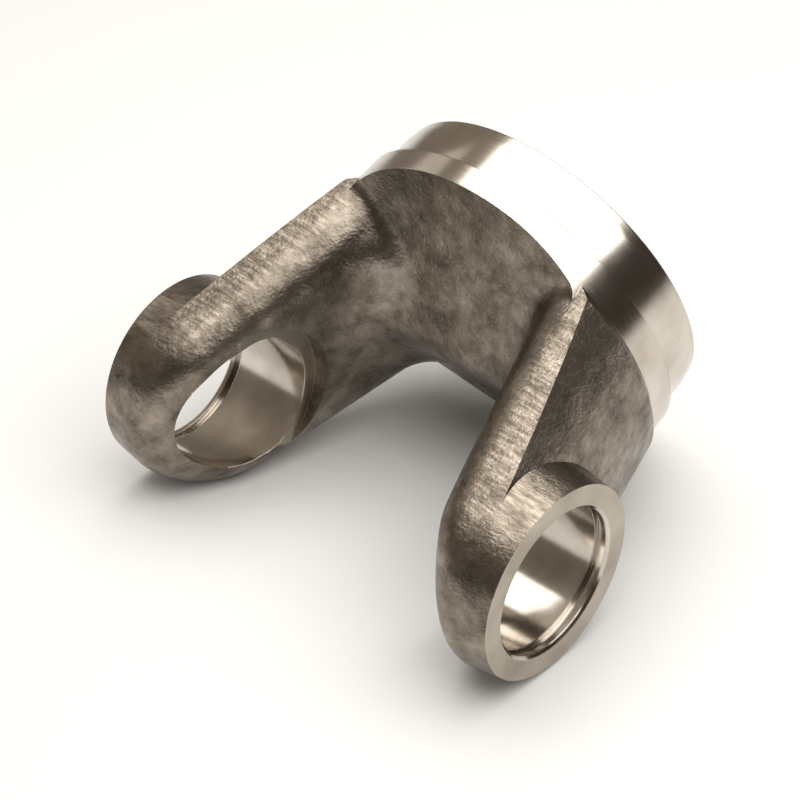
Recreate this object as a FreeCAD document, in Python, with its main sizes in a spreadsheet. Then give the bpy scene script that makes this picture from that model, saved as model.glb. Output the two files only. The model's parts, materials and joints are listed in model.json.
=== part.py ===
import FreeCAD, Part
import math
import os
import Sketcher

# Weld yoke of a drive shaft: one steel forging, machined at the ears and at the ring.
#
# It is built in the yoke's own axes and laid down at the end. In those axes the origin is the
# joint's centre, X runs along the bores, and Z along the shaft, towards the tips of the ears.
# Depths are distances below the joint's centre, towards the tube. Lengths are millimetres and
# angles are degrees.

DRIVING_SIZES = {
    # turned ring, from the tube's end to the web
    "rim_radius": 36.0,
    "rim_depth": 59.4,
    "pilot_radius": 36.4,
    "lead_in_length": 3.0,
    "shoulder_radius": 38.1,
    "shoulder_depth": 48.9,
    # web between the arms, a saddle with a rounded crest
    "crest_depth": 30.0,
    "crest_rounding": 8.0,
    "flank_angle": 24.0,
    "flank_foot_rounding": 50.0,
    "lip_depth": 44.0,
    # hollow on the tube's side
    "hollow_radius": 29.0,
    "hollow_depth": 48.5,
    "hollow_draft": 7.0,
    "dish_depth": 52.0,
    "ceiling_radius": 20.0,
    # arms
    "arm_root_radius": 39.9,
    "arm_root_depth": 41.0,
    "arm_root_slope": 45.0,
    "arm_draft": 9.6,
    "foot_half_width": 26.0,
    "foot_depth": 40.6,
    "gap_half": 28.9,
    "gap_draft": 14.0,
    "tip_relief_height": 5.5,
    "tip_relief_draft": 26.5,
    "tip_relief_rounding": 22.0,
    "inner_rounding_foot": 10.5,
    "inner_rounding_ear": 7.0,
    "root_rounding_crest": 15.0,
    "root_rounding_flank": 7.0,
    "root_rounding_lip": 4.0,
    # ears and their machined bosses
    "ear_radius": 20.9,
    "boss_start": 42.5,
    "boss_seat": 3.0,
    "boss_face": 49.1,
    "boss_draft": 8.5,
    # bearing cap bores
    "bore_radius": 15.09,
    "bore_chamfer": 0.6,
    "groove_radius": 16.2,
    "groove_seat": 46.0,
    "groove_width": 1.5,
    "spotface_radius": 18.0,
    "spotface_distance": 28.3,
}

doc = FreeCAD.newDocument("weld_yoke")
sheet = doc.addObject("Spreadsheet::Sheet", "Sizes")
for row, (alias, number) in enumerate(DRIVING_SIZES.items(), start=1):
    sheet.set(f"A{row}", alias)
    sheet.set(f"B{row}", str(number))
    sheet.setAlias(f"B{row}", alias)
doc.recompute()


def size(alias):
    """Value of one driving dimension, read from the sheet."""
    return float(sheet.get(alias))


def slope(alias):
    """Tangent of one of the sheet's angles."""
    return math.tan(math.radians(size(alias)))


# ---- helpers for sketches ----------------------------------------------------------------

def origin_part(body, role):
    """One of the body's own origin planes or axes."""
    return [part for part in body.Origin.OriginFeatures if part.Role == role][0]


def new_sketch(body, name, role):
    sketch = body.newObject("Sketcher::SketchObject", name)
    sketch.AttachmentSupport = [(origin_part(body, role), "")]
    sketch.MapMode = "FlatFace"
    return sketch


def bind(sketch, kind, where, expression, start):
    """Adds one dimension to a sketch and ties it to an expression of the sheet's cells."""
    number = sketch.addConstraint(Sketcher.Constraint(kind, *where, start))
    sketch.setExpression(f"Constraints[{number}]", expression)


def pin_point(sketch, edge, end, across, up):
    """Holds one end of an edge at a place given by two expressions."""
    here = sketch.getPoint(edge, end)
    bind(sketch, "DistanceX", (-1, 1, edge, end), across, here.x)
    bind(sketch, "DistanceY", (-1, 1, edge, end), up, here.y)


def outline(sketch, corners):
    """Closed straight-sided outline through corners that are pairs of expressions.

    It starts as a regular polygon, and its dimensions pull each corner to its place."""
    count = len(corners)
    start = [FreeCAD.Vector(50 * math.cos(turn), 50 * math.sin(turn), 0)
             for turn in (2 * math.pi * index / count for index in range(count))]
    first = sketch.GeometryCount
    for index in range(count):
        sketch.addGeometry(Part.LineSegment(start[index], start[(index + 1) % count]))
    for index in range(count):
        following = first + (index + 1) % count
        sketch.addConstraint(Sketcher.Constraint("Coincident", first + index, 2, following, 1))
    for index, (across, up) in enumerate(corners):
        pin_point(sketch, first + index, 1, across, up)


def join(sketch, joints):
    """Joins ends of edges: each joint is its kind, then an edge and its end, twice."""
    for joint in joints:
        sketch.addConstraint(Sketcher.Constraint(*joint))


def arc(centre, radius, start_angle, end_angle):
    """Counter-clockwise arc in a sketch's plane, angles in radians."""
    circle = Part.Circle(FreeCAD.Vector(centre[0], centre[1], 0), FreeCAD.Vector(0, 0, 1), radius)
    return Part.ArcOfCircle(circle, start_angle, end_angle)


def segment(start, end):
    return Part.LineSegment(FreeCAD.Vector(*start, 0), FreeCAD.Vector(*end, 0))


def feature(body, kind, name, sketch, **settings):
    """PartDesign feature made from a sketch, with plain settings and no bindings yet."""
    made = body.newObject(f"PartDesign::{kind}", name)
    made.Profile = sketch
    for key, setting in settings.items():
        setattr(made, key, setting)
    sketch.Visibility = False
    return made


def spun(body, kind, name, sketch, axis="Z_Axis"):
    """Revolution or Groove of a sketch, all the way round one of the body's axes."""
    return feature(body, kind, name, sketch, ReferenceAxis=(origin_part(body, axis), [""]), Angle=360.0)


def through(body, kind, name, sketch):
    """Pocket that runs through everything on both sides of its sketch."""
    return feature(body, kind, name, sketch, Type="ThroughAll", Midplane=True)


def edges_where(shape, wanted):
    """Names of the edges whose every sampled point passes a test, with the edges themselves."""
    return [(f"Edge{number}", edge) for number, edge in enumerate(shape.Edges, start=1)
            if all(wanted(point) for point in edge.discretize(7))]


REACH = 60.0    # cutting sketches run this far, past the whole forging
TOUCH = 0.02    # two places closer than this are the same


# ---- ring: what is turned between the arms and the tube ----------------------------------

ring = doc.addObject("PartDesign::Body", "Ring")

ring_section = new_sketch(ring, "RingSection", "XZ_Plane")
outline(ring_section, [
    ("0", "-Sizes.rim_depth"),
    ("Sizes.rim_radius", "-Sizes.rim_depth"),
    ("Sizes.pilot_radius", "Sizes.lead_in_length - Sizes.rim_depth"),
    ("Sizes.pilot_radius", "-Sizes.shoulder_depth"),
    ("Sizes.shoulder_radius", "-Sizes.shoulder_depth"),
    ("Sizes.shoulder_radius", "-Sizes.crest_depth / 2"),
    ("0", "-Sizes.crest_depth / 2"),
])
spun(ring, "Revolution", "RingBlank", ring_section)

# Saddle: a rounded crest, straight flanks, and a hollow foot that runs out at the lip.
saddle = new_sketch(ring, "SaddleSection", "YZ_Plane")
crest_r, foot_r = size("crest_rounding"), size("flank_foot_rounding")
crest_centre_z = -size("crest_depth") - crest_r
lip = (size("shoulder_radius"), -size("lip_depth"))
tilt = math.radians(size("flank_angle"))
down_flank = (math.cos(tilt), -math.sin(tilt))
off_flank = (math.sin(tilt), math.cos(tilt))
crest_end = (crest_r * off_flank[0], crest_centre_z + crest_r * off_flank[1])
# The foot's centre is foot_r off the flank and foot_r away from the lip.
lip_across, lip_up = lip[0] - crest_end[0], lip[1] - crest_end[1]
lip_along = lip_across * down_flank[0] + lip_up * down_flank[1]
lip_off = lip_across * off_flank[0] + lip_up * off_flank[1]
flank_length = lip_along - math.sqrt(foot_r ** 2 - (foot_r - lip_off) ** 2)
flank_end = (crest_end[0] + flank_length * down_flank[0], crest_end[1] + flank_length * down_flank[1])
foot_centre = (flank_end[0] + foot_r * off_flank[0], flank_end[1] + foot_r * off_flank[1])
lip_turn = math.atan2(lip[1] - foot_centre[1], lip[0] - foot_centre[0])
foot_turn = -math.pi / 2 - tilt


def mirrored(point):
    return (-point[0], point[1])


crest, left_flank, left_foot, left_run, left_side, top, right_side, right_run, right_foot, right_flank = (
    saddle.addGeometry(geometry) for geometry in (
        arc((0, crest_centre_z), crest_r, math.pi / 2 - tilt, math.pi / 2 + tilt),
        segment(mirrored(flank_end), mirrored(crest_end)),
        arc(mirrored(foot_centre), foot_r, -math.pi - lip_turn, -math.pi - foot_turn),
        segment(mirrored(lip), (-REACH, lip[1])),
        segment((-REACH, lip[1]), (-REACH, 0)),
        segment((-REACH, 0), (REACH, 0)),
        segment((REACH, 0), (REACH, lip[1])),
        segment((REACH, lip[1]), lip),
        arc(foot_centre, foot_r, foot_turn, lip_turn),
        segment(crest_end, flank_end),
    )
)
join(saddle, [
    ("Tangent", crest, 2, left_flank, 2),
    ("Tangent", left_flank, 1, left_foot, 2),
    ("Coincident", left_foot, 1, left_run, 1),
    ("Coincident", left_run, 2, left_side, 1),
    ("Coincident", left_side, 2, top, 1),
    ("Coincident", top, 2, right_side, 1),
    ("Coincident", right_side, 2, right_run, 1),
    ("Coincident", right_run, 2, right_foot, 2),
    ("Tangent", right_foot, 1, right_flank, 2),
    ("Tangent", right_flank, 1, crest, 1),
])
pin_point(saddle, crest, 3, "0", "-Sizes.crest_depth - Sizes.crest_rounding")
pin_point(saddle, left_run, 1, "-Sizes.shoulder_radius", "-Sizes.lip_depth")
pin_point(saddle, right_run, 2, "Sizes.shoulder_radius", "-Sizes.lip_depth")
pin_point(saddle, left_side, 1, f"-{REACH}", "-Sizes.lip_depth")
pin_point(saddle, top, 1, f"-{REACH}", "0")
pin_point(saddle, top, 2, f"{REACH}", "0")
pin_point(saddle, right_side, 2, f"{REACH}", "-Sizes.lip_depth")
bind(saddle, "Radius", (crest,), "Sizes.crest_rounding", crest_r)
bind(saddle, "Radius", (left_foot,), "Sizes.flank_foot_rounding", foot_r)
bind(saddle, "Radius", (right_foot,), "Sizes.flank_foot_rounding", foot_r)
bind(saddle, "Angle", (left_flank,), "Sizes.flank_angle", tilt)
bind(saddle, "Angle", (right_flank,), "-Sizes.flank_angle", -tilt)
through(ring, "Pocket", "SaddleCut", saddle)

# Hollow that lightens the tube's side: drafted walls and a dished ceiling.
hollow = new_sketch(ring, "HollowSection", "XZ_Plane")
outline(hollow, [
    ("0", "-Sizes.rim_depth"),
    ("Sizes.hollow_radius", "-Sizes.rim_depth"),
    ("Sizes.hollow_radius - (Sizes.rim_depth - Sizes.dish_depth) * tan(Sizes.hollow_draft)",
     "-Sizes.dish_depth"),
    ("Sizes.ceiling_radius", "-Sizes.hollow_depth"),
    ("0", "-Sizes.hollow_depth"),
])
spun(ring, "Groove", "Hollow", hollow)
doc.recompute()


# ---- arms: both at once, as one blank that the fork's gap splits --------------------------

arms = doc.addObject("PartDesign::Body", "Arms")

# Side view: the ears' round ends, and straight edges that spread towards the ring.
side = new_sketch(arms, "SideOutline", "YZ_Plane")
ear_r = size("ear_radius")
foot = (size("foot_half_width"), -size("foot_depth"))
ear_turn = math.atan2(foot[1], foot[0]) + math.acos(ear_r / math.hypot(*foot))
ear_end = (ear_r * math.cos(ear_turn), ear_r * math.sin(ear_turn))
base_z = -size("shoulder_depth")
spread = (foot[0] - ear_end[0]) / (foot[1] - ear_end[1])
base = (foot[0] + spread * (base_z - foot[1]), base_z)
right_ear, left_ear, left_edge, bottom, right_edge = (
    side.addGeometry(geometry) for geometry in (
        arc((0, 0), ear_r, ear_turn, math.pi / 2),
        arc((0, 0), ear_r, math.pi / 2, math.pi - ear_turn),
        segment(mirrored(ear_end), mirrored(base)),
        segment(mirrored(base), base),
        segment(base, ear_end),
    )
)
join(side, [
    ("Coincident", right_ear, 2, left_ear, 1),
    ("Tangent", left_ear, 2, left_edge, 1),
    ("Coincident", left_edge, 2, bottom, 1),
    ("Coincident", bottom, 2, right_edge, 1),
    ("Tangent", right_edge, 2, right_ear, 1),
])
right_foot_point = side.addGeometry(Part.Point(FreeCAD.Vector(*foot, 0)), True)
left_foot_point = side.addGeometry(Part.Point(FreeCAD.Vector(*mirrored(foot), 0)), True)
pin_point(side, right_foot_point, 1, "Sizes.foot_half_width", "-Sizes.foot_depth")
pin_point(side, left_foot_point, 1, "-Sizes.foot_half_width", "-Sizes.foot_depth")
side.addConstraint(Sketcher.Constraint("PointOnObject", right_foot_point, 1, right_edge))
side.addConstraint(Sketcher.Constraint("PointOnObject", left_foot_point, 1, left_edge))
side.addConstraint(Sketcher.Constraint("Coincident", right_ear, 3, -1, 1))
side.addConstraint(Sketcher.Constraint("Coincident", left_ear, 3, -1, 1))
side.addConstraint(Sketcher.Constraint("PointOnObject", right_ear, 2, -2))
side.addConstraint(Sketcher.Constraint("Horizontal", bottom))
bind(side, "Radius", (right_ear,), "Sizes.ear_radius", ear_r)
bind(side, "DistanceY", (-1, 1, bottom, 1), "-Sizes.shoulder_depth", base_z)
blank = feature(arms, "Pad", "ArmBlank", side, Midplane=True)
blank.setExpression("Length", "2 * Sizes.boss_face")

# Gap of the fork: it widens towards the tips, and more so past the bores' middle.
gap = new_sketch(arms, "GapSection", "XZ_Plane")
gap_corners = [
    ("Sizes.gap_half - (Sizes.shoulder_depth + 1) * tan(Sizes.gap_draft)", "-Sizes.shoulder_depth - 1"),
    ("Sizes.gap_half + Sizes.tip_relief_height * tan(Sizes.gap_draft)", "Sizes.tip_relief_height"),
    ("Sizes.gap_half + Sizes.tip_relief_height * tan(Sizes.gap_draft)"
     " + (Sizes.ear_radius + 5 - Sizes.tip_relief_height) * tan(Sizes.tip_relief_draft)",
     "Sizes.ear_radius + 5"),
]
outline(gap, gap_corners + [(f"-({across})", up) for across, up in reversed(gap_corners)])
through(arms, "Pocket", "GapCut", gap)
doc.recompute()


def gap_half_at(height):
    """Half the fork's gap at a height above the joint's centre."""
    relief = max(height - size("tip_relief_height"), 0.0)
    return size("gap_half") + (height - relief) * slope("gap_draft") + relief * slope("tip_relief_draft")


def on_gap_wall(point):
    return abs(abs(point.x) - gap_half_at(point.z)) < TOUCH


bend_edges = edges_where(arms.Shape, lambda point: on_gap_wall(point)
                         and abs(point.z - size("tip_relief_height")) < TOUCH)
gap_cut = arms.Tip
bend = arms.newObject("PartDesign::Fillet", "ReliefBend")
bend.Base = (gap_cut, [name for name, edge in bend_edges])
bend.setExpression("Radius", "Sizes.tip_relief_rounding")
doc.recompute()


def inner_rounding(point):
    """Radius of the gap wall's rounding where its edge passes a point."""
    at_foot = point.z < -size("foot_depth")
    return size("inner_rounding_foot") if at_foot else size("inner_rounding_ear")


def round_edges(name, base, edges, radius_at):
    """Fillet with a radius of its own at each end of each edge."""
    rounded = doc.addObject("Part::Fillet", name)
    rounded.Base = base
    rounded.Edges = [(int(label[4:]), radius_at(edge.firstVertex().Point), radius_at(edge.lastVertex().Point))
                     for label, edge in edges]
    doc.recompute()
    return rounded


# The rounding follows the edges that the gap's walls share with the arms' sides and the ears' ends.
wall_edges = [(name, edge) for name, edge in edges_where(
    arms.Shape, lambda point: abs(point.x) < gap_half_at(point.z) + 0.5) if edge.BoundBox.ZLength > TOUCH]
rounded_arms = round_edges("RoundedArms", arms, wall_edges, inner_rounding)

# Outer surface of both arms: a steep lip where the web's steel spreads, then a long drafted cone
# up to the level of the bores. Its foot starts inside the ring, so that the two blanks overlap.
envelope = doc.addObject("PartDesign::Body", "Envelope")
outside = new_sketch(envelope, "OuterSurface", "XZ_Plane")
outline(outside, [
    ("0", "-Sizes.shoulder_depth"),
    ("Sizes.shoulder_radius - 1", "-Sizes.shoulder_depth"),
    ("Sizes.shoulder_radius - 1",
     "-Sizes.arm_root_depth - (Sizes.arm_root_radius - Sizes.shoulder_radius + 1)"
     " / tan(Sizes.arm_root_slope)"),
    ("Sizes.arm_root_radius", "-Sizes.arm_root_depth"),
    ("Sizes.arm_root_radius + Sizes.arm_root_depth * tan(Sizes.arm_draft)", "0"),
    ("0", "0"),
])
spun(envelope, "Revolution", "OuterCone", outside)

# Above the bores' level the ears end flat, just short of where their bosses begin to taper.
ear_ends = new_sketch(envelope, "EarEnds", "XZ_Plane")
outline(ear_ends, [
    ("0.5 - Sizes.boss_start", "0"),
    ("Sizes.boss_start - 0.5", "0"),
    ("Sizes.boss_start - 0.5", "Sizes.ear_radius + 5"),
    ("0.5 - Sizes.boss_start", "Sizes.ear_radius + 5"),
])
feature(envelope, "Pad", "EarSlab", ear_ends, Midplane=True).setExpression("Length", "2 * Sizes.ear_radius + 10")

# Round bosses about the bores' axis: they leave the ears' round ends at boss_start and taper to their faces.
boss_section = new_sketch(envelope, "BossSection", "XZ_Plane")
boss_corners = [
    ("Sizes.boss_face", "Sizes.ear_radius - (Sizes.boss_face - Sizes.boss_start) * tan(Sizes.boss_draft)"),
    ("Sizes.boss_start - Sizes.boss_seat", "Sizes.ear_radius + Sizes.boss_seat * tan(Sizes.boss_draft)"),
]
outline(boss_section, [("Sizes.boss_face", "0"), *boss_corners,
                       *((f"-({across})", up) for across, up in reversed(boss_corners)),
                       ("-Sizes.boss_face", "0")])
spun(envelope, "Revolution", "BossCones", boss_section, "X_Axis")

drafted_arms = doc.addObject("Part::Common", "DraftedArms")
drafted_arms.Base = rounded_arms
drafted_arms.Tool = envelope

forging = doc.addObject("Part::Fuse", "Forging")
forging.Base = ring
forging.Tool = drafted_arms
forging.Refine = True
doc.recompute()


def saddle_height(across):
    """Height of the saddle at a distance from the yoke's middle plane."""
    across = abs(across)
    if across < crest_end[0]:
        return crest_centre_z + math.sqrt(crest_r ** 2 - across ** 2)
    if across < flank_end[0]:
        return crest_end[1] - (across - crest_end[0]) * slope("flank_angle")
    return foot_centre[1] - math.sqrt(foot_r ** 2 - (across - foot_centre[0]) ** 2)


def root_rounding(point):
    """Radius between saddle and arm: widest on the crest, small where it runs out at the lip."""
    across = abs(point.y)
    if across < crest_end[0] + TOUCH:
        return size("root_rounding_crest")
    if across < flank_end[0] - TOUCH:
        return size("root_rounding_flank")
    return size("root_rounding_lip")


def is_root(edge):
    """Whether an edge on the saddle runs along an arm, and not across the saddle or round its lip."""
    farthest = min(math.hypot(point.x, point.y) for point in edge.discretize(7))
    return edge.BoundBox.YLength > TOUCH and farthest < size("shoulder_radius") - TOUCH


root_edges = [(name, edge) for name, edge in edges_where(
    forging.Shape, lambda point: abs(point.z - saddle_height(point.y)) < TOUCH) if is_root(edge)]
rooted = round_edges("RoundedRoots", forging, root_edges, root_rounding)


# ---- machining: bores, snap ring grooves and spot faces, in one turned tool ----------------

bores = doc.addObject("PartDesign::Body", "Bores")
bore_section = new_sketch(bores, "BoreSection", "XZ_Plane")
bore_corners = [
    ("Sizes.spotface_distance", "Sizes.spotface_radius"),
    ("Sizes.spotface_distance", "Sizes.bore_radius"),
    ("Sizes.groove_seat", "Sizes.bore_radius"),
    ("Sizes.groove_seat", "Sizes.groove_radius"),
    ("Sizes.groove_seat + Sizes.groove_width", "Sizes.groove_radius"),
    ("Sizes.groove_seat + Sizes.groove_width", "Sizes.bore_radius"),
    ("Sizes.boss_face - Sizes.bore_chamfer", "Sizes.bore_radius"),
    ("Sizes.boss_face + 1", "Sizes.bore_radius + Sizes.bore_chamfer + 1"),
    ("Sizes.boss_face + 1", "0"),
]
outline(bore_section, bore_corners + [(f"-({across})", up) for across, up in reversed(bore_corners)])
spun(bores, "Revolution", "BoreTool", bore_section, "X_Axis")

yoke = doc.addObject("Part::Cut", "Yoke")
yoke.Base = rooted
yoke.Tool = bores
yoke.Refine = True
yoke.Label = "forged_yoke"
doc.recompute()


# ---- laying the yoke down -------------------------------------------------------------------

# It rests on both ears and on the lip of the shoulder. Lying flat on a side would put the ears' edge
# at one height and the lip's corner lower, so the shaft's end is lifted by this angle.
lip_reach = math.hypot(size("shoulder_radius"), size("lip_depth"))
lie_angle = math.degrees(math.atan2(size("shoulder_radius"), size("lip_depth"))
                         - math.asin(size("ear_radius") / lip_reach))
yoke.Placement = FreeCAD.Placement(
    FreeCAD.Vector(0, 0, 0), FreeCAD.Rotation(FreeCAD.Vector(1, 0, 0), 90 + lie_angle))
doc.recompute()


# ---- checks and export ----------------------------------------------------------------------

failed = [item.Name for item in doc.Objects if {"Invalid", "Error"} & set(item.State)]
if failed:
    raise RuntimeError(f"features that failed: {failed}")
if yoke.Shape.isNull() or not yoke.Shape.isValid() or len(yoke.Shape.Solids) != 1:
    raise RuntimeError("the yoke isn't one valid solid")

os.makedirs("parts", exist_ok=True)
yoke.Shape.exportStep(f"parts/{yoke.Label}.step")
print(f"{yoke.Label}: {yoke.Shape.Volume:.0f} mm3, lies at {lie_angle:.2f} degrees")
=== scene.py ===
import json
import math

import bmesh
import bpy
import numpy as np
from mathutils import Matrix, Vector


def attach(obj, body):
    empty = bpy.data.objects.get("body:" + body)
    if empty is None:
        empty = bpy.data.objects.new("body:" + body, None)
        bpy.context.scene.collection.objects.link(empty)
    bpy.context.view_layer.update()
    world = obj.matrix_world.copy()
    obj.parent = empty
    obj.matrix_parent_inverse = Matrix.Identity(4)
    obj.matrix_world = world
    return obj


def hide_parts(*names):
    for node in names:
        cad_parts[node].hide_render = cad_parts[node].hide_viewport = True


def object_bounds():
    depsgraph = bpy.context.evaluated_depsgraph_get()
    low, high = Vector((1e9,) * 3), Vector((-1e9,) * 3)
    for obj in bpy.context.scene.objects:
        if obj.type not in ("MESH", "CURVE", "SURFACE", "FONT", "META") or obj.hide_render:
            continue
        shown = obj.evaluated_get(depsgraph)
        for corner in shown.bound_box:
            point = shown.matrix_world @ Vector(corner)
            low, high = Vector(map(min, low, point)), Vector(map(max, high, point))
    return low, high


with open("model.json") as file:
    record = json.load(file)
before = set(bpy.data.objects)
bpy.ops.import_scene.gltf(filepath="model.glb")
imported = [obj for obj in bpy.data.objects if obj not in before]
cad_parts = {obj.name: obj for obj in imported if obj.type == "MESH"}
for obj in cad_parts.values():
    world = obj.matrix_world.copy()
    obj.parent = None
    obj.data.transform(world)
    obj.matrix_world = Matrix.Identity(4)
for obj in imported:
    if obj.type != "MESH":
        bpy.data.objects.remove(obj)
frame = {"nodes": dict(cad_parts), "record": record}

# A drive shaft's weld yoke: one steel forging, with its ring turned and its ears bored and faced.
# The yoke's own axes are X along the bores, Z from the joint's centre towards the tips of the ears,
# and Y square to both. Sizes of the piece are millimetres in those axes.

cad_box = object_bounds()
MM = 0.001

# ---- sizes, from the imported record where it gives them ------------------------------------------

NODE = "forged_yoke"
MOUNTS = {mount["name"]: mount for mount in frame["record"]["mounts"]}
TUBE_AXIS = Vector(MOUNTS["tube_seat"]["axis"]).normalized()
BORE_RADIUS = MOUNTS["cross_bore"]["dims"]["r_mm"]
BORE_HALF = MOUNTS["cross_bore"]["dims"]["length_mm"] / 2
PILOT_RADIUS = MOUNTS["tube_seat"]["dims"]["r_mm"]
EAR_FACE = cad_box[1].x / MM
FLOOR_HEIGHT = cad_box[0].z

YOKE_X = Vector((1, 0, 0))
YOKE_Z = -TUBE_AXIS
YOKE_Y = YOKE_Z.cross(YOKE_X)
TO_ROW = Matrix((YOKE_X, YOKE_Y, YOKE_Z)).transposed()    # its columns are the yoke's axes
TO_YOKE = TO_ROW.inverted()

SHOULDER_RADIUS = 38.1
SHOULDER_DEPTH = 48.9     # where the shoulder steps down to the pilot that the tube slides on
RIM_DEPTH = 59.4
HOLLOW_RADIUS = 29.0      # hollow inside the rim, left as forged
LIP_DEPTH = 44.0          # the shoulder's wall is lowest between the arms
GROOVE_RADIUS = 16.2      # snap ring grooves
GROOVE_FROM = 46.0
SPOTFACE = 28.3           # faced inside of each ear
SPOTFACE_RADIUS = 18.0
SMOOTH_ANGLE = 20         # degrees: faces that meet more sharply keep their edge
CUT_MAP_LENGTH = 40       # millimetres along the axis of cutting for one unit of the map
NEAR = 0.15               # two places closer than this are the same


# ---- materials ----------------------------------------------------------------------------------

def linear(code):
    """sRGB hex to a linear colour with full alpha."""
    channels = [int(code[start:start + 2], 16) / 255 for start in (1, 3, 5)]
    return (*((c / 12.92 if c <= 0.04045 else ((c + 0.055) / 1.055) ** 2.4) for c in channels), 1.0)


def add(tree, kind, inputs=None, stops=(), **settings):
    """Adds a node. Inputs take numbers, nodes or sockets, and stops fill a colour ramp with hex colours."""
    node = tree.nodes.new(kind)
    for name, setting in settings.items():
        setattr(node, name, setting)
    for name, value in (inputs or {}).items():
        if isinstance(value, bpy.types.Node):
            value = value.outputs[0]
        if isinstance(value, bpy.types.NodeSocket):
            tree.links.new(value, node.inputs[name])
        else:
            node.inputs[name].default_value = value
    for number, (place, code) in enumerate(stops):
        elements = node.color_ramp.elements
        element = elements[number] if number < 2 else elements.new(place)
        element.position, element.color = place, linear(code)
    return node


def new_material(name):
    """A material, its node tree, and each point's place in the yoke's own axes, in metres."""
    material = bpy.data.materials.new(name)
    material.use_nodes = True
    tree = material.node_tree
    tree.nodes.clear()
    point = add(tree, "ShaderNodeTexCoord").outputs["Object"]
    return material, tree, add(tree, "ShaderNodeMapping", {"Vector": point, "Rotation": TO_YOKE.to_euler()})


def surface(tree, inputs):
    """Closes a material with one principled shader."""
    add(tree, "ShaderNodeOutputMaterial", {"Surface": add(tree, "ShaderNodeBsdfPrincipled", inputs)})


def forged_skin():
    """Hot-forged carbon steel, shot-blasted: thin scale over satin metal, with a fine pitted grain."""
    material, tree, place = new_material("shot_blasted_forging")
    # Blotches 6 mm across, where the scale is thicker or rubbed thin.
    blotches = add(tree, "ShaderNodeTexNoise", {"Vector": place, "Scale": 1 / (6 * MM), "Detail": 7.0,
                                                "Roughness": 0.68})
    tone = add(tree, "ShaderNodeValToRGB", {"Fac": blotches},
               stops=((0.30, "#544c44"), (0.50, "#7f766b"), (0.70, "#a0968a")))
    # Blasting grit leaves dents 0.4 mm across; they are drawn at 0.6 mm, to show.
    grit = add(tree, "ShaderNodeTexNoise", {"Vector": place, "Scale": 1 / (0.6 * MM), "Detail": 3.0,
                                            "Roughness": 0.6})
    flecks = add(tree, "ShaderNodeValToRGB", {"Fac": grit}, stops=((0.54, "#000000"), (0.76, "#7a7a7a")))
    grained = add(tree, "ShaderNodeMixRGB", {"Fac": flecks, "Color1": tone, "Color2": linear("#cfc4b5")})
    sheen = add(tree, "ShaderNodeMapRange", {"Value": blotches, "From Min": 0.3, "From Max": 0.7,
                                             "To Min": 0.42, "To Max": 0.26})
    # The flash was sheared off the flat sides of the arms. Its torn lines cross the strip, 0.9 mm apart,
    # and fade out where the sides begin to round.
    facing = add(tree, "ShaderNodeMapping", {"Vector": add(tree, "ShaderNodeNewGeometry").outputs["Normal"],
                                             "Rotation": TO_YOKE.to_euler()}, vector_type="VECTOR")
    sideways = add(tree, "ShaderNodeSeparateXYZ", {0: facing}).outputs["Y"]
    flat = add(tree, "ShaderNodeMath", {0: sideways}, operation="ABSOLUTE")
    sheared = add(tree, "ShaderNodeMapRange", {"Value": flat, "From Min": 0.90, "From Max": 0.99,
                                               "To Min": 0.0, "To Max": 0.6})
    stretched = add(tree, "ShaderNodeMapping", {"Vector": place, "Scale": (0.2, 0.2, 1.0)})
    tears = add(tree, "ShaderNodeTexNoise", {"Vector": stretched, "Scale": 1 / (0.9 * MM), "Detail": 4.0,
                                             "Roughness": 0.7})
    torn = add(tree, "ShaderNodeValToRGB", {"Fac": tears},
               stops=((0.36, "#5f564c"), (0.50, "#94897c"), (0.66, "#cbc0b1")))
    colour = add(tree, "ShaderNodeMixRGB", {"Fac": sheared, "Color1": grained, "Color2": torn})
    # Forging dies leave the skin gently uneven, 4 mm from swell to swell.
    waves = add(tree, "ShaderNodeTexNoise", {"Vector": place, "Scale": 1 / (4 * MM), "Detail": 3.0})
    swell = add(tree, "ShaderNodeBump", {"Distance": 0.25 * MM, "Height": waves})
    dents = add(tree, "ShaderNodeBump", {"Distance": 0.10 * MM, "Height": grit, "Normal": swell})
    ridges = add(tree, "ShaderNodeBump", {"Strength": sheared, "Distance": 0.2 * MM, "Height": tears,
                                          "Normal": dents})
    surface(tree, {"Base Color": colour, "Metallic": 1.0, "Roughness": sheen, "Normal": ridges})
    return material


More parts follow.
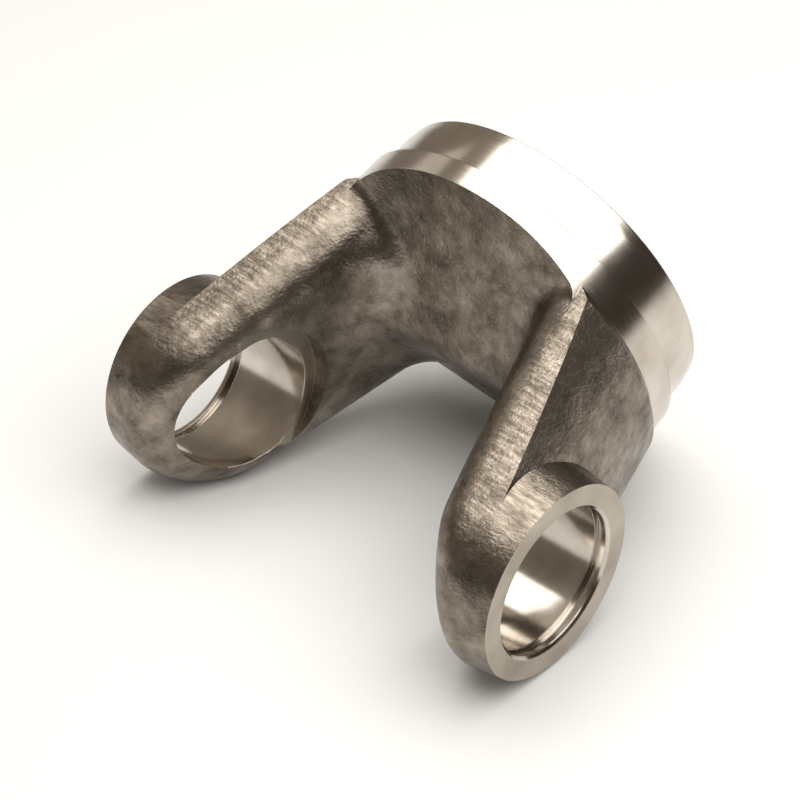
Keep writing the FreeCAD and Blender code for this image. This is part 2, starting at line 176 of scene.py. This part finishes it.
def cut_steel(name, keep, pitch, depth, dark, light, roughness, stretch):
    """Bare turned or bored steel, whose fine tool lines stretch each reflection across themselves.

    A tool line runs where the length of the point, with only its kept axes, stays the same. The
    shader's tangent follows the piece's map called cut, which runs round the axis of cutting."""
    material, tree, place = new_material(name)
    kept = add(tree, "ShaderNodeVectorMath", {0: place, 1: keep}, operation="MULTIPLY")
    reach = add(tree, "ShaderNodeVectorMath", {0: kept}, operation="LENGTH").outputs["Value"]
    lines = add(tree, "ShaderNodeTexNoise", {"W": reach, "Scale": 1 / (pitch * MM), "Detail": 2.0},
                noise_dimensions="1D")
    smears = add(tree, "ShaderNodeTexNoise", {"Vector": place, "Scale": 1 / (12 * MM), "Detail": 4.0})
    colour = add(tree, "ShaderNodeValToRGB", {"Fac": smears}, stops=((0.35, dark), (0.65, light)))
    sheen = add(tree, "ShaderNodeMapRange", {"Value": lines, "From Min": 0.3, "From Max": 0.7,
                                             "To Min": 0.8 * roughness, "To Max": 1.2 * roughness})
    # The deburring tool breaks the edges by about 0.35 mm.
    broken = add(tree, "ShaderNodeBevel", {"Radius": 0.35 * MM}, samples=4)
    ridges = add(tree, "ShaderNodeBump", {"Distance": depth * MM, "Height": lines, "Normal": broken})
    tangent = add(tree, "ShaderNodeTangent", direction_type="UV_MAP", uv_map="cut")
    surface(tree, {"Base Color": colour, "Metallic": 1.0, "Roughness": sheen, "Normal": ridges,
                   "Anisotropic": stretch, "Tangent": tangent})
    return material


# ---- the forging --------------------------------------------------------------------------------

def merged_copy(node, name):
    """Copy of a CAD node's mesh with its triangles joined, smooth but for its real edges."""
    piece = bpy.data.objects.new(name, node.data.copy())
    bpy.context.scene.collection.objects.link(piece)
    shell = bmesh.new()
    shell.from_mesh(piece.data)
    bmesh.ops.remove_doubles(shell, verts=shell.verts, dist=0.002 * MM)
    shell.to_mesh(piece.data)
    shell.free()
    if "custom_normal" in piece.data.attributes:
        piece.data.attributes.remove(piece.data.attributes["custom_normal"])
    piece.data.materials.clear()
    piece.data.shade_smooth()
    piece.data.set_sharp_from_angle(angle=math.radians(SMOOTH_ANGLE))
    return piece


def read(collection, field, width):
    values = np.zeros(len(collection) * width, np.float32)
    collection.foreach_get(field, values)
    return values.reshape(-1, width)


def finish_of_faces(centre, normal):
    """Number of each face's finish: 0 forged, 1 turned, 2 bored, 3 faced."""
    across, height = np.abs(centre[:, 0]), centre[:, 2]
    from_shaft = np.hypot(centre[:, 0], centre[:, 1])
    from_bore = np.hypot(centre[:, 1], centre[:, 2])
    outward = (normal[:, :2] * centre[:, :2]).sum(1) / np.maximum(from_shaft, NEAR)
    square_to_shaft = outward > 0.99
    square_to_bore = np.abs(normal[:, 0]) > 0.9

    shoulder = square_to_shaft & (np.abs(from_shaft - SHOULDER_RADIUS) < 2 * NEAR) & (height < 4 - LIP_DEPTH)
    pilot = (height < NEAR - SHOULDER_DEPTH) & (from_shaft > PILOT_RADIUS - 1)
    rim = (height < NEAR - RIM_DEPTH) & (from_shaft > HOLLOW_RADIUS - NEAR)
    wall = (from_bore < BORE_RADIUS + NEAR) & (across > SPOTFACE - 1)
    groove = (from_bore < GROOVE_RADIUS + NEAR) & (across > GROOVE_FROM - NEAR) & (across < BORE_HALF)
    chamfer = (from_bore < BORE_RADIUS + 1) & (across > BORE_HALF - NEAR) & (across < EAR_FACE - NEAR)
    ear_face = across > EAR_FACE - NEAR / 3
    spotface = square_to_bore & (np.abs(across - SPOTFACE) < NEAR) & (from_bore < SPOTFACE_RADIUS + NEAR)
    return np.select([wall | groove | chamfer, ear_face | spotface, shoulder | pilot | rim], [2, 3, 1], 0)


def dress(piece):
    """Gives each face its finish, and lays a map that runs round the axis of cutting."""
    mesh = piece.data
    turn = np.array(TO_ROW) / MM                # a row of coordinates times this is in the yoke's axes
    centre = read(mesh.polygons, "center", 3) @ turn
    normal = read(mesh.polygons, "normal", 3) @ turn * MM
    finish = finish_of_faces(centre, normal)
    mesh.polygons.foreach_set("material_index", finish.astype(np.int32))

    corner = np.zeros(len(mesh.loops), np.int32)
    mesh.loops.foreach_get("vertex_index", corner)
    face = np.repeat(np.arange(len(mesh.polygons)), 3)
    point = (read(mesh.vertices, "co", 3) @ turn)[corner]
    about_bore = finish[face] >= 2
    # U is the angle about the ring's axis or the bores', kept on its face's own side of the seam.
    # V is the way along that axis plus the way out from it, so it grows on walls and on flat faces.
    corner_side = np.where(about_bore, point[:, 2], point[:, 0])
    face_side = np.where(about_bore, centre[face, 2], centre[face, 0])
    angle = np.arctan2(point[:, 1], corner_side)
    angle += 2 * np.pi * np.round((np.arctan2(centre[face, 1], face_side) - angle) / (2 * np.pi))
    along = np.where(about_bore, point[:, 0], point[:, 2]) + np.hypot(point[:, 1], corner_side)
    cut = mesh.uv_layers.new(name="cut")
    cut.data.foreach_set("uv", np.stack([angle, along / CUT_MAP_LENGTH], 1).astype(np.float32).ravel())
    return piece


yoke = dress(merged_copy(frame["nodes"][NODE], "yoke"))
for material in (
    forged_skin(),
    cut_steel("turned_ring", keep=(0, 0, 1), pitch=0.25, depth=0.0012, dark="#b8afa4", light="#d2cac0",
              roughness=0.15, stretch=0.4),
    cut_steel("bored_wall", keep=(1, 0, 0), pitch=0.2, depth=0.0012, dark="#b6aea4", light="#d8d1c8",
              roughness=0.15, stretch=0.4),
    cut_steel("faced_ear", keep=(0, 1, 1), pitch=0.35, depth=0.004, dark="#a0978a", light="#bab1a4",
              roughness=0.40, stretch=0.3),
):
    yoke.data.materials.append(material)
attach(yoke, "root")
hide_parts(NODE)


# ---- floor, light and camera ----------------------------------------------------------------------

def floor():
    """Wide pale sheet under the part."""
    half = 4.0
    mesh = bpy.data.meshes.new("floor")
    mesh.from_pydata([(-half, -half, FLOOR_HEIGHT), (half, -half, FLOOR_HEIGHT),
                      (half, half, FLOOR_HEIGHT), (-half, half, FLOOR_HEIGHT)], [], [(0, 1, 2, 3)])
    sheet = bpy.data.objects.new("floor", mesh)
    bpy.context.scene.collection.objects.link(sheet)
    paper = bpy.data.materials.new("white_paper")
    paper.use_nodes = True
    paper.node_tree.nodes.clear()
    surface(paper.node_tree, {"Base Color": linear("#dddcda"), "Roughness": 0.9})
    mesh.materials.append(paper)


def aimed(lens, azimuth, elevation, distance, target):
    """Camera that looks at a target. Azimuth 0 stands on the -Y side and 90 on the +X side."""
    turn, rise = math.radians(azimuth), math.radians(elevation)
    away = Vector((math.sin(turn) * math.cos(rise), -math.cos(turn) * math.cos(rise), math.sin(rise)))
    held = bpy.data.objects.new(lens.name, lens)
    held.location = Vector(target) + away * distance
    held.rotation_euler = away.to_track_quat("Z", "Y").to_euler()
    bpy.context.scene.collection.objects.link(held)
    return held


def softbox(name, place, tilt, width, depth, brightness):
    """Rectangular light that hangs face down, tilted about Y. A face of brightness 1 looks just white."""
    panel = bpy.data.lights.new(name, "AREA")
    panel.shape, panel.size, panel.size_y = "RECTANGLE", width, depth
    panel.energy = brightness * math.pi * width * depth
    panel.color = linear("#fffdfa")[:3]
    hung = bpy.data.objects.new(name, panel)
    hung.location, hung.rotation_euler = place, (0, math.radians(tilt), 0)
    bpy.context.scene.collection.objects.link(hung)


def room():
    """A white room whose image in metal is dim at eye level, and paler overhead and on the left."""
    world = bpy.data.worlds.new("studio")
    world.use_nodes = True
    tree = world.node_tree
    tree.nodes.clear()
    towards = add(tree, "ShaderNodeTexCoord").outputs["Generated"]
    split = add(tree, "ShaderNodeSeparateXYZ", {0: towards})
    walls = add(tree, "ShaderNodeValToRGB", {"Fac": split.outputs["Z"]},
                stops=((0.0, "#453c33"), (0.45, "#352e27"), (0.85, "#8d8377")))
    side = add(tree, "ShaderNodeMapRange", {"Value": split.outputs["X"], "From Min": 0.2, "From Max": -0.8,
                                            "To Min": 0.0, "To Max": 0.55})
    mirrored = add(tree, "ShaderNodeMixRGB", {"Fac": side, "Color1": walls, "Color2": linear("#b0a596")})
    dim = add(tree, "ShaderNodeBackground", {"Color": mirrored, "Strength": 1.0})
    white = add(tree, "ShaderNodeBackground", {"Color": linear("#fbf9f5"), "Strength": 0.4})
    glossy = add(tree, "ShaderNodeLightPath").outputs["Is Glossy Ray"]
    add(tree, "ShaderNodeOutputWorld", {"Surface": add(tree, "ShaderNodeMixShader",
                                                        {0: glossy, 1: white, 2: dim})})
    bpy.context.scene.world = world


floor()
room()
softbox("overhead", place=(0.195, 0.08, 0.6), tilt=0, width=1.14, depth=0.8, brightness=2.9)
softbox("left_fill", place=(-0.9, 0.1, 0.5), tilt=-60, width=0.5, depth=0.5, brightness=0.5)
lens = bpy.data.cameras.new("camera")
lens.lens, lens.sensor_width, lens.clip_end = 114.0, 36.0, 20.0
bpy.context.scene.camera = aimed(lens, azimuth=42.03, elevation=37.63, distance=0.4847,
                                 target=(0.0007, 0.0114, 0.0104))
bpy.context.scene.view_settings.view_transform = "Standard"
